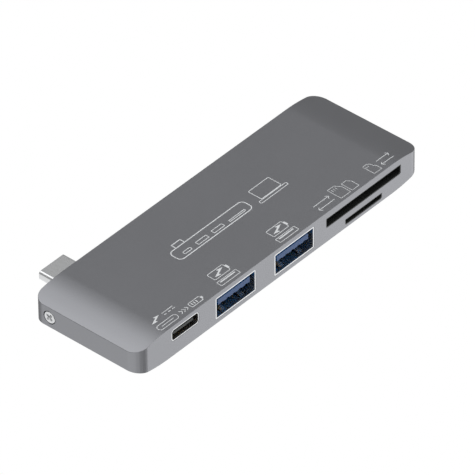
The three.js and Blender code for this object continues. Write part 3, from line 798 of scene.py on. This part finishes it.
# ------------------------------------------------------------------- connectors
@dataclass
class UsbAReceptacle:
    """A USB-A receptacle: drawn shell with sprung fingers, blue tongue and contacts."""

    number: int
    wall: float = 0.3
    inset: float = 0.1
    lip: float = 0.06
    lip_length: float = 0.4
    lip_turn: float = 0.12
    corner: float = 0.33
    finger_spacing: float = 6.4
    finger_width: float = 1.5
    finger_start: float = 0.85
    finger_length: float = 4.9
    finger_gap: float = 0.3
    finger_sunk: float = 0.14
    finger_half: float = 0.12
    finger_bends: int = 14
    finger_crest: float = 0.55
    finger_taper: float = 0.22
    window_corner: float = 0.25
    window_half: float = 0.7
    tongue_half: float = 5.25
    tongue_thick: float = 1.48
    finger_rise: float = 0.57
    rear_block: float = 4.2
    flat_groove: float = 0.06
    sprung_groove: float = 0.08
    sprung_start: float = 2.9

    @property
    def prefix(self) -> str:
        """What the names of this receptacle's nodes start with."""
        return f"usb_a_{self.number}"

    @property
    def sprung_contacts(self) -> list[str]:
        """The four sprung contacts' nodes."""
        return [f"{self.prefix}_contact_{n}" for n in range(1, 5)]

    @property
    def flat_contacts(self) -> list[str]:
        """The five flat contacts' nodes."""
        return [f"{self.prefix}_ss_contact_{n}" for n in range(1, 6)]

    def shell(self) -> Piece:
        """The drawn shell, its lip turned out, windowed and fitted with its fingers."""
        box = Box.of(f"{self.prefix}_shell")
        middle, front = box.middle, box.low[1]
        skin = Box((box.low[0] + self.inset, front + self.lip_length, box.low[2] + self.inset),
                   (box.high[0] - self.inset, box.high[1], box.high[2] - self.inset))
        blank = bar(f"{self.prefix}_drawn_shell", skin, Y_AXIS, self.corner, 5)
        flare = (1 + 2 * self.lip / skin.size.x, 1, 1 + 2 * self.lip / skin.size.z)
        narrow = (skin.size.x - 2 * self.wall, skin.size.z - 2 * self.wall)
        pinch = (narrow[0] / (narrow[0] + 2 * self.lip), 1, narrow[1] / (narrow[1] + 2 * self.lip))
        with editing(blank):
            pick(blank, "FACE", faces_to(Y_AXIS, -1))
            extrude((0, -self.lip_turn, 0), flare, middle)
            extrude((0, self.lip_turn - self.lip_length, 0))
            pick(blank, "FACE", lambda face: abs(face.normal.y) > 0.999)
            bpy.ops.mesh.inset(thickness=self.wall, use_even_offset=True)
            pick(blank, "FACE", lambda face: self._is_mouth(face, -1, front, narrow))
            extrude((0, self.lip_length, 0), pinch, middle)
            pick(blank, "FACE", lambda face: self._is_mouth(
                face, -1, front + self.lip_length, narrow) or self._is_mouth(
                face, 1, box.high[1], narrow))
            bpy.ops.mesh.bridge_edge_loops()
        bevelled(blank, 0.03, 2, crisp_at(Y_AXIS, front))
        places = [(middle.x + x * self.finger_spacing / 2, box, up)
                  for x in (-1, 1) for up in (-1, 1)]
        combine(blank, [self._window(*place) for place in places])
        smoothed(blank)
        return gathered(blank.name, [blank, *[self._finger(*place) for place in places]])

    @staticmethod
    def _is_mouth(face: Any, side: int, level: float, narrow: tuple[float, float]) -> bool:
        """Say whether a face closes the tube at a level along it, facing one side."""
        return (face.normal.y * side > 0.999 and face.calc_area() > 0.8 * narrow[0] * narrow[1]
                and abs(face.calc_center_median().y - level) < 0.001)

    def _window(self, at: float, box: Box, up: int) -> Piece:
        """The opening that a finger is lanced from."""
        edge = box.high[2] if up > 0 else box.low[2]
        middle = (at, box.low[1] + self.finger_start + self.finger_length / 2, edge)
        half = (self.finger_width / 2 + self.finger_gap, self.finger_length / 2,
                self.window_half)
        return bar("window", Box.about(middle, half), Z_AXIS, self.window_corner, 3)

    def _finger(self, at: float, box: Box, up: int) -> Piece:
        """A sprung finger that bows into the mouth and lifts again at its tip."""
        outside = (box.high[2] - self.inset) if up > 0 else (box.low[2] + self.inset)
        start = box.low[1] + self.finger_start - self.finger_gap
        reach = 0.9 * self.finger_length + self.finger_gap
        strip = block("finger", Box.about(
            (at, start + reach / 2, outside - up * self.finger_sunk),
            (self.finger_width / 2, reach / 2, self.finger_half)))
        bevelled(strip, 0.05, 2, runs_along(Y_AXIS))
        bends, crest = self.finger_bends, self.finger_crest
        bisected(strip, Y_AXIS, [start + reach * k / bends for k in range(1, bends)])
        for vertex in strip.data.vertices:
            t = (vertex.co.y - start) / reach
            falling = 1 - 0.9 * (max(0.0, t - crest) / (1 - crest)) ** 1.6
            bow = math.sin(math.pi * t / (2 * crest)) if t < crest else falling
            vertex.co.z -= up * self.finger_rise * max(0.0, bow) ** 1.4
            vertex.co.x = at + (vertex.co.x - at) * (1 - self.finger_taper * t)
        return smoothed(strip, 35)

    def insulator(self) -> Piece:
        """The blue moulding: rear block and tongue, grooved for its contacts."""
        name = f"{self.prefix}_insulator"
        box = Box.of(name)
        front, back = box.low[1], box.high[1]
        pads = [Box.of(node) for node in self.flat_contacts]
        springs = [Box.of(node) for node in self.sprung_contacts]
        underside = pads[0].low[2]
        rear = block("rear", box.along_y(back - self.rear_block, back))
        bevelled(rear, 0.3, 3, runs_along(Y_AXIS))
        tongue = block(f"{name}_moulding", Box(
            (box.middle.x - self.tongue_half, front, underside),
            (box.middle.x + self.tongue_half, back - self.rear_block + 1,
             underside + self.tongue_thick)))
        bevelled(tongue, 0.12, 3, runs_along(Y_AXIS))
        for width, steps, up in ((0.1, 3, 1), (0.08, 2, -1)):
            bevelled(tongue, width, steps, lambda e: runs_along(X_AXIS)(e) and all(
                v.co.y < front + 0.001 and (v.co.z - underside - 0.5) * up > 0
                for v in e.verts))
        combine(tongue, [rear], "UNION")
        below = underside - 1
        gap = self.flat_groove
        cuts = [Box((pad.low[0] - gap, front - 1, below),
                    (pad.high[0] + gap, pad.high[1] + 0.05, pad.high[2] + 0.03)) for pad in pads]
        gap = self.sprung_groove
        cuts += [Box((spring.low[0] - gap, front + self.sprung_start, below),
                     (spring.high[0] + gap, back + 1, underside + 0.02)) for spring in springs]
        grooves = [block("groove", cut) for cut in cuts]
        return smoothed(combine(tongue, grooves), 30)

    def build(self) -> None:
        """Make, dress and mount the receptacle."""
        mounted(self.shell(), NICKEL, Slot.NICKEL, f"{self.prefix}_shell")
        mounted(self.insulator(), BLUE_LCP, Slot.BLUE, f"{self.prefix}_insulator")
        dressed(GOLD, *self.sprung_contacts, *self.flat_contacts)


def contact_rows(prefix: str, middle: Point, offset: float, size: Point) -> None:
    """Mount an upper and a lower row of flat plated contacts, modelled once and copied.

    Args:
        prefix: what both rows' names start with.
        middle: the point midway between the rows.
        offset: how far each row lies from it.
        size: one contact's size.
    """
    count, pitch = 12, 0.5
    start = Vector(middle) - Vector(((count - 1) / 2 * pitch, 0, 0))
    for side, level in (("upper", 1), ("lower", -1)):
        name = f"{prefix}_{side}"
        contact = block(name, Box.about(start + Vector((0, 0, level * offset)), Vector(size) / 2))
        bevelled(contact, 0.3 * min(size), 2, is_crisp)
        row = [copied(contact, name, (k * pitch, 0, 0)) for k in range(1, count)]
        mounted(smoothed(gathered(name, [contact, *row]), 40), GOLD, Slot.GOLD)


@dataclass
class ChargePort:
    """The USB-C charging receptacle."""

    wall: float = 0.24
    corner: float = 0.9
    blade: float = 0.7
    blade_half: float = 3.345
    reach: float = 0.35
    step: float = 1.5
    step_length: float = 3
    rear_length: float = 2
    nose_corner: float = 0.35
    contact: Point = (0.25, 3.2, 0.05)
    contact_setback: float = 2.2

    def tongue(self) -> Piece:
        """The black blade, its shoulder and the rear block."""
        box = Box.of("pd_port_tongue")
        middle, half = box.middle, self.blade_half
        front, back = box.low[1] - self.reach, box.high[1]
        across = Box.about(middle, (half, 0, self.blade / 2))
        blade = block("pd_port_blade", across.along_y(front, back - 1))
        bevelled(blade, self.nose_corner, 4,
                 lambda e: runs_along(Z_AXIS)(e) and e.verts[0].co.y < front + 0.1)
        bevelled(blade, 0.1, 2, lambda e: is_crisp(e) and all(
            v.co.y < front + 0.5 for v in e.verts) and not runs_along(Z_AXIS)(e))
        across = Box.about(middle, (half, 0, self.step / 2))
        step = bar("step", across.along_y(back - self.step_length, back - 1), Y_AXIS, 0.2, 3)
        rear = bar("rear", box.along_y(back - self.rear_length, back), Y_AXIS,
                   self.corner - self.wall, 6)
        return smoothed(combine(blade, [step, rear], "UNION"), 30)

    def build(self) -> None:
        """Make, dress and mount the port."""
        shell = tube("pd_port_drawn_shell", Box.of("pd_port_shell"), self.corner, self.wall,
                     0.05, 10)
        mounted(smoothed(shell), NICKEL, Slot.NICKEL, "pd_port_shell")
        mounted(self.tongue(), CHARCOAL, Slot.BLACK, "pd_port_tongue")
        tongue = Box.of("pd_port_tongue")
        middle = (tongue.middle.x, tongue.low[1] + self.contact_setback, tongue.middle.z)
        contact_rows("pd_port_contacts", middle, self.blade / 2 + 0.005, self.contact)


@dataclass
class Plug:
    """The rigid USB-C plug on the back of the body."""

    wall: float = 0.28
    corner: float = 0.62
    slot_half: float = 0.42
    slot_depth: float = 7.2
    contact: Point = (0.25, 3.6, 0.12)
    contact_setback: float = 2.6

    def build(self) -> None:
        """Make, dress and mount the plug."""
        shell = tube("plug_drawn_shell", Box.of("plug_shell"), self.corner, self.wall, 0.07, 8)
        mounted(smoothed(shell), NICKEL, Slot.NICKEL, "plug_shell")
        mounted(self.insulator(), BLACK_LCP, Slot.BLACK, "plug_insulator")
        inner = Box.of("plug_insulator")
        middle = (inner.middle.x, inner.high[1] - self.contact_setback, inner.middle.z)
        contact_rows("plug_contacts", middle, self.slot_half, self.contact)
        dressed(STAINLESS, "plug_latch")

    def insulator(self) -> Piece:
        """The black moulding with the slot that receives a port's blade."""
        box = Box.of("plug_insulator")
        tip = box.high[1]
        body = bar("plug_moulding", box, Y_AXIS, self.corner - self.wall, 5)
        across = Box.about(box.middle, (box.size.x / 2 + 1, 0, self.slot_half))
        combine(body, [block("slot", across.along_y(tip - self.slot_depth, tip + 1))])
        return smoothed(bevelled(body, 0.1, 2, crisp_at(Y_AXIS, tip)), 30)


def slot_blank(name: str, box: Box) -> Piece:
    """A blank with a card slot's section: lower corners clipped, upper ones crisp."""
    blank = block(name, box)
    under, along = box.middle.z, runs_along(Y_AXIS)
    bevelled(blank, 0.45, 3, lambda e: along(e) and e.verts[0].co.z < under)
    return bevelled(blank, 0.12, 2, lambda e: along(e) and e.verts[0].co.z > under)


@dataclass
class CardSlots:
    """The two card readers behind their slots, with their switch levers."""

    nose_wall: ClassVar[float] = 0.2
    mouths: ClassVar[dict[str, tuple[float, float, float]]] = {
        "sd": (12.5, 0.15, 2.35), "microsd": (6.05, 0.0, 1.17)}
    microsd_sheet: ClassVar[float] = 0.85
    setback: float = 0.05

    @staticmethod
    def mouth_of(prefix: str) -> Box:
        """The slot that a card goes through, from the front face to the reader."""
        base = Box.of(f"{prefix}_base")
        half, low, high = CardSlots.mouths[prefix]
        level = (base.low[2] if prefix == "sd"
                 else base.high[2] - CardSlots.microsd_sheet - high)
        return Box((base.middle.x - half, base.low[1], level + low),
                   (base.middle.x + half, base.high[1], level + high))

    @staticmethod
    def nose_of(prefix: str) -> Box:
        """The outside of the reader's nose, which fills the opening in the housing."""
        wall = CardSlots.nose_wall
        return CardSlots.mouth_of(prefix).grown(wall, 0, wall)

    def moulding(self, prefix: str) -> Piece:
        """A reader's black base, with the nose that comes out flush with the front."""
        base = copied(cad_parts[f"{prefix}_base"], f"{prefix}_copy", (0, 0, 0))
        base.parent = None
        for key in list(base.keys()):
            del base[key]
        base.data.transform(Matrix.Scale(1 / MM, 4))
        with editing(base):
            select_all()
            bpy.ops.mesh.remove_doubles(threshold=0.0005)
        slot, outside = self.mouth_of(prefix), self.nose_of(prefix).grown(-0.01, 0, -0.01)
        front, back = Box.of("housing").low[1] + self.setback, slot.low[1] + 0.02
        nose = slot_blank("nose", outside.along_y(front, back))
        combine(nose, [slot_blank("through", slot.along_y(front - 1, back + 1))])
        return smoothed(gathered(f"{prefix}_moulding", [base, nose]), 30)

    def build(self) -> None:
        """Make the mouldings and dress the readers' nodes."""
        for prefix in ("sd", "microsd"):
            mounted(self.moulding(prefix), BLACK_LCP, Slot.BLACK, f"{prefix}_base")
        dressed(STAINLESS, "sd_cover", "microsd_cover", "sd_detect_lever", "sd_protect_lever",
                "microsd_detect_lever")
        dressed(GOLD, *[f"sd_contact_{n}" for n in range(1, 10)],
                *[f"microsd_contact_{n}" for n in range(1, 9)])


@dataclass
class Electronics:
    """The board and the packages on it."""

    def build(self) -> None:
        """Dress the board's nodes."""
        dressed(BOARD, "main_board")
        dressed(EPOXY, "hub_controller", "card_controller", "pd_controller")
        dressed(STAINLESS, "clock_crystal")


# ----------------------------------------------------------------------- prints
@dataclass
class TopPrints:
    """Generic pictograms in pale ink on the top, one group over each port.

    Places are (x, y) in millimetres, as on a printer's layout seen from above.
    """

    surface: Enclosure
    line: float = 0.19
    height: float = 0.03

    def stroke(self, name: str, lines: Sequence[Polyline], closed: bool = True,
               width: float | None = None) -> Piece:
        """Printed lines of even width.

        Args:
            name: the print's name.
            lines: the paths, each a row of (x, y) places.
            closed: whether each path runs back to its start.
            width: line width, or None for the usual one.

        Returns:
            The lines as one flat mesh at height 0.
        """
        drawn = self._drawn(name, [self.stepped(points, closed) for points in lines], closed,
                            dimensions="3D", bevel_depth=(width or self.line) / 2,
                            bevel_resolution=1)
        with editing(drawn):
            select_all()
            bpy.ops.transform.resize(value=(1, 1, self.height / self.line),
                                     center_override=(0, 0, 0))
        return drawn

    @staticmethod
    def stepped(points: Polyline, closed: bool, step: float = 0.4) -> list[tuple[float, float]]:
        """A path with points added on its long runs, so that it can follow the curved top."""
        ends = [*points[1:], points[0]] if closed else points[1:]
        path = []
        for (x0, y0), (x1, y1) in zip(points, ends):
            count = max(1, math.ceil(math.hypot(x1 - x0, y1 - y0) / step))
            path += [(x0 + (x1 - x0) * k / count, y0 + (y1 - y0) * k / count)
                     for k in range(count)]
        return path if closed else [*path, tuple(points[-1])]

    def patch(self, name: str, outlines: Sequence[Polyline]) -> Piece:
        """Printed shapes that are filled in."""
        return self._drawn(name, outlines, True, dimensions="2D", fill_mode="BOTH",
                           extrude=self.height / 2)

    @staticmethod
    def _drawn(name: str, paths: Sequence[Polyline], closed: bool, **look: Any) -> Piece:
        """A mesh from straight-sided paths.

        Args:
            name: the mesh's name.
            paths: the places along each path.
            closed: whether each path runs back to its start.
            **look: the curve's own properties, such as its thickness.

        Returns:
            The mesh.
        """
        curve = bpy.data.curves.new(name, "CURVE")
        for key, value in look.items():
            setattr(curve, key, value)
        for points in paths:
            spline = curve.splines.new("POLY")
            spline.points.add(len(points) - 1)
            for knot, (x, y) in zip(spline.points, points):
                knot.co = (x, y, 0, 1)
            spline.use_cyclic_u = closed
        drawn = bpy.data.objects.new(name, curve)
        bpy.context.scene.collection.objects.link(drawn)
        take(drawn)
        bpy.ops.object.convert(target="MESH")
        return bpy.context.object

    def laid(self, name: str, *parts: Piece) -> None:
        """Join the parts of a print, lay it on the curved top and mount it."""
        piece = gathered(name, parts)
        for vertex in piece.data.vertices:
            vertex.co.z += self.surface.top_at(vertex.co.x)
        mounted(piece, INK, None)

    @staticmethod
    def rounded(x0: float, y0: float, x1: float, y1: float, radius: float,
                steps: int = 5) -> list[tuple[float, float]]:
        """The outline of a rectangle with rounded corners.

        Args:
            x0: left side.
            y0: near side.
            x1: right side.
            y1: far side.
            radius: corner radius.
            steps: points in each corner.

        Returns:
            The outline's points.
        """
        corners = ((x1 - radius, y1 - radius, 0), (x0 + radius, y1 - radius, 1),
                   (x0 + radius, y0 + radius, 2), (x1 - radius, y0 + radius, 3))
        return [(cx + radius * math.cos((turn + k / steps) * math.pi / 2),
                 cy + radius * math.sin((turn + k / steps) * math.pi / 2))
                for cx, cy, turn in corners for k in range(steps + 1)]

    @staticmethod
    def bolt(x: float, y: float, size: float) -> list[tuple[float, float]]:
        """The outline of a lightning bolt that lies on its side."""
        shape = ((1.0, 0.3), (0.06, 0.5), (0.2, 0.2), (-1.0, -0.3), (-0.06, -0.5), (-0.2, -0.2))
        return [(x + size * a, y + size * b) for a, b in shape]

    def battery(self, number: int) -> None:
        """A battery with a bolt over a USB-A port, and the port's mouth below it."""
        port = Box.of(f"usb_a_{number}_shell").middle.x
        x0, x1, y0, y1 = port - 2.9, port + 2.1, -12.0, -9.55
        self.laid(
            f"print_battery_{number}",
            self.stroke("outline", [self.rounded(x0, y0, x1, y1, 0.35)]),
            self.patch("cap", [self.rounded(x1 + 0.02, y0 + 0.6, x1 + 0.5, y1 - 0.6, 0.15)]),
            self.patch("bolt", [self.bolt((x0 + x1) / 2, (y0 + y1) / 2, 1.85)]))
        left, right = port - 3.45, port + 2.7
        self.laid(
            f"print_usb_a_{number}",
            self.stroke("mouth", [self.rounded(left, -14.35, right, -12.85, 0.2)]),
            self.patch("tongue", [self.rounded(left + 0.7, -13.5, right - 0.7, -13.15, 0.08)]))

    def charging(self) -> None:
        """A stadium-shaped port, arrows and a battery, under a bolt and a DC sign."""
        self.laid(
            "print_charge_port",
            self.stroke("mouth", [self.rounded(-38.6, -14.35, -32.4, -12.75, 0.78, 8)]),
            self.stroke("blade", [[(-37.4, -13.55), (-33.6, -13.55)]], False),
            self.stroke("arrows", [[(x, -14.1), (x + 0.7, -13.55), (x, -13.0)]
                                   for x in (-31.4, -30.5, -29.6)], False))
        self.laid(
            "print_charge_battery",
            self.stroke("outline", [self.rounded(-28.2, -14.3, -24.6, -12.8, 0.3)]),
            self.patch("cap", [self.rounded(-24.58, -13.9, -24.15, -13.2, 0.1)]),
            self.stroke("cells", [[(x, -13.95), (x, -13.15)] for x in (-27.5, -26.8, -26.1)],
                        False, 0.3))
        self.laid(
            "print_direct_current",
            self.patch("bolt", [self.bolt(-36.6, -11.0, 1.7)]),
            self.stroke("line", [[(-34.2, -10.65), (-30.7, -10.65)]], False),
            self.stroke("dashes", [[(x, -11.35), (x + 0.8, -11.35)]
                                   for x in (-34.2, -32.85, -31.5)], False))

    def exchange(self, name: str, x0: float, x1: float, y0: float, y1: float) -> None:
        """Two arrows, one each way, for reading and writing."""
        head = 0.42 * (y1 - y0) / 2
        arrows = []
        for level, tail, tip in ((y1 - head, x0, x1), (y0 + head, x1, x0)):
            barb = tip + math.copysign(head, tail - tip)
            arrows += [[(tail, level), (tip, level)],
                       [(barb, level + head), (tip, level), (barb, level - head)]]
        self.laid(name, self.stroke("arrows", arrows, False))

    def cards(self) -> None:
        """Card outlines over the card slots."""
        fine = 0.16
        large = [(21.15, -14.45), (24.3, -14.45), (24.3, -11.9), (23.3, -10.4), (21.15, -10.4)]
        small = [(24.9, -14.45), (27.2, -14.45), (27.2, -12.2), (26.4, -11.2), (24.9, -11.2)]
        micro = [(32.5, -14.4), (34.95, -14.4), (34.95, -12.7), (34.5, -12.3), (34.5, -11.7),
                 (33.9, -10.95), (32.5, -10.95)]
        self.laid("print_sd_card", self.stroke("outline", [large], width=fine), self.stroke(
            "pads", [[(x, -11.0), (x, -11.7)] for x in (21.8, 22.4, 23.0)], False, fine))
        self.laid("print_small_card", self.stroke("outline", [small], width=fine))
        self.laid("print_microsd_card", self.stroke("outline", [micro], width=fine), self.stroke(
            "pads", [[(x, -11.4), (x, -12.0)] for x in (33.0, 33.5)], False, fine))
        self.exchange("print_sd_exchange", 14.8, 19.9, -14.1, -11.2)
        self.exchange("print_microsd_exchange", 36.0, 40.1, -14.1, -11.3)

    def centre(self) -> None:
        """A plain drawing of the hub from above, and a laptop beside it."""
        bold, light = 0.3, 0.22
        ports = [self.rounded(-15.6, -1.1, -13.2, -0.3, 0.38),
                 self.rounded(-11.2, -1.2, -7.8, -0.2, 0.1),
                 self.rounded(-6.0, -1.2, -2.6, -0.2, 0.1),
                 self.rounded(-0.8, -1.2, 4.4, -0.75, 0.1)]
        plug = [(-15.4, 1.7), (-15.4, 3.1), (-12.6, 3.1), (-12.6, 1.7)]
        self.laid("print_hub_outline",
                  self.stroke("body", [self.rounded(-17.9, -1.9, 6.3, 1.7, 1.2)], width=bold),
                  self.stroke("ports", ports, width=light),
                  self.stroke("plug", [plug], False, bold))
        self.laid("print_laptop",
                  self.stroke("screen", [self.rounded(9.6, -1.3, 16.3, 2.6, 0.35)], width=light),
                  self.stroke("base", [self.rounded(8.4, -2.3, 17.5, -1.5, 0.35)], width=light))

    def build(self) -> None:
        """Print every group."""
        for number in (1, 2):
            self.battery(number)
        self.charging()
        self.cards()
        self.centre()


# ----------------------------------------------------------------------- studio
@dataclass(frozen=True)
class SoftBox:
    """A soft patch of light in the sky: its direction, angular size and brightness."""

    towards: tuple[float, float, float]
    radius: float
    softness: float
    strength: float


@dataclass
class Studio:
    """Pale floor, soft surrounding light and the camera."""

    azimuth: float = -48.57
    elevation: float = 39.16
    roll: float = -0.66
    lens: float = 594.5
    distance: float = 1.7214
    aim: tuple[float, float] = (0.00193, 0.0020)
    sensor: float = 36.0
    floor_radius: float = 6.0
    floor_gap: float = 0.00005
    ambient: float = 0.366
    boxes: tuple[SoftBox, ...] = (
        SoftBox((-0.067, 0.078, 0.995), 40.9, 4.0, 1.21),
        SoftBox((0.856, -0.509, -0.087), 41.8, 4.0, 0.962),
        SoftBox((-0.28, 0.006, -0.96), 44.6, 9.5, 0.724),
        SoftBox((0.1, -0.98, 0.12), 20.0, 6.0, 1.75),
    )

    def world(self) -> None:
        """Surround the scene with even light and soft boxes, plain white to look at."""
        world = bpy.data.worlds.new("studio")
        bpy.context.scene.world = world
        tree = cleared(world)
        white = (1.0, 1.0, 1.0, 1.0)
        direction = add_node(tree, "TexCoord")["Generated"]
        total = add_node(tree, "Value")[0]
        total.default_value = self.ambient
        for box in self.boxes:
            axis = Vector(box.towards).normalized()
            along = add_node(tree, "VectorMath", {0: direction, 1: axis},
                             operation="DOT_PRODUCT")["Value"]
            rim, blur = math.radians(box.radius), math.radians(box.softness)
            glow = add_node(tree, "MapRange", {
                "Value": along, "From Min": math.cos(rim + blur),
                "From Max": math.cos(rim - blur), "To Max": box.strength},
                interpolation_type="SMOOTHSTEP")[0]
            total = add_node(tree, "Math", {0: total, 1: glow})[0]
        light = add_node(tree, "Background", {"Color": white, "Strength": total})
        plain = add_node(tree, "Background", {"Color": white, "Strength": 1.0})
        seen = add_node(tree, "LightPath")["Is Camera Ray"]
        sky = add_node(tree, "MixShader", {
            0: seen, 1: light[0], 2: plain[0]})
        add_node(tree, "OutputWorld", {"Surface": sky[0]})

    def floor(self) -> None:
        """A wide white light table: plain to look at, and clear to light from below."""
        deselect()
        bpy.ops.mesh.primitive_circle_add(vertices=96, radius=self.floor_radius,
                                          fill_type="NGON", location=(0, 0, -self.floor_gap))
        floor = bpy.context.object
        floor.name = "studio_floor"
        material = bpy.data.materials.new("white light table")
        tree = cleared(material)
        white = add_node(tree, "Emission", {"Color": (1, 1, 1, 1), "Strength": 1.0})
        clear = add_node(tree, "BsdfTransparent")
        seen = add_node(tree, "LightPath")["Is Camera Ray"]
        under = add_node(tree, "NewGeometry")["Backfacing"]
        shown = add_node(tree, "Math", {0: seen, 1: under}, operation="SUBTRACT",
                         use_clamp=True)[0]
        mixed = add_node(tree, "MixShader", {
            0: shown, 1: clear[0], 2: white[0]})
        add_node(tree, "OutputMaterial", {"Surface": mixed[0]})
        floor.data.materials.append(material)

    def camera(self) -> None:
        """A long lens from the front left, above."""
        turn, rise, roll = (math.radians(a) for a in (self.azimuth, self.elevation, self.roll))
        back = Vector((math.sin(turn) * math.cos(rise), -math.cos(turn) * math.cos(rise),
                       math.sin(rise)))
        level = Vector((math.cos(turn), math.sin(turn), 0))
        upright = back.cross(level)
        right = math.cos(roll) * level + math.sin(roll) * upright
        up = math.cos(roll) * upright - math.sin(roll) * level
        place = back * self.distance
        target = right * self.aim[0] + up * self.aim[1]
        back = (place - target).normalized()
        right = up.cross(back).normalized()
        up = back.cross(right)
        data = bpy.data.cameras.new("camera")
        data.lens, data.sensor_width = self.lens, self.sensor
        camera = bpy.data.objects.new("camera", data)
        bpy.context.scene.collection.objects.link(camera)
        camera.matrix_world = Matrix.Translation(place) @ Matrix(
            (right, up, back)).transposed().to_4x4()
        bpy.context.scene.camera = camera

    def build(self) -> None:
        """Set up light, floor, camera and the plain view transform."""
        self.world()
        self.floor()
        self.camera()
        bpy.context.scene.view_settings.view_transform = "Standard"


def main() -> None:
    """Build every sub-assembly in order."""
    logging.basicConfig(level=logging.INFO, format="%(name)s %(message)s")
    enclosure = Enclosure()
    assemblies = [enclosure, EndScrew(-1), EndScrew(1), UsbAReceptacle(1), UsbAReceptacle(2),
                  ChargePort(), Plug(), CardSlots(), Electronics(), TopPrints(enclosure), Studio()]
    for assembly in assemblies:
        LOG.info("building %s", type(assembly).__name__)
        assembly.build()


if __name__ == "__main__":
    main()
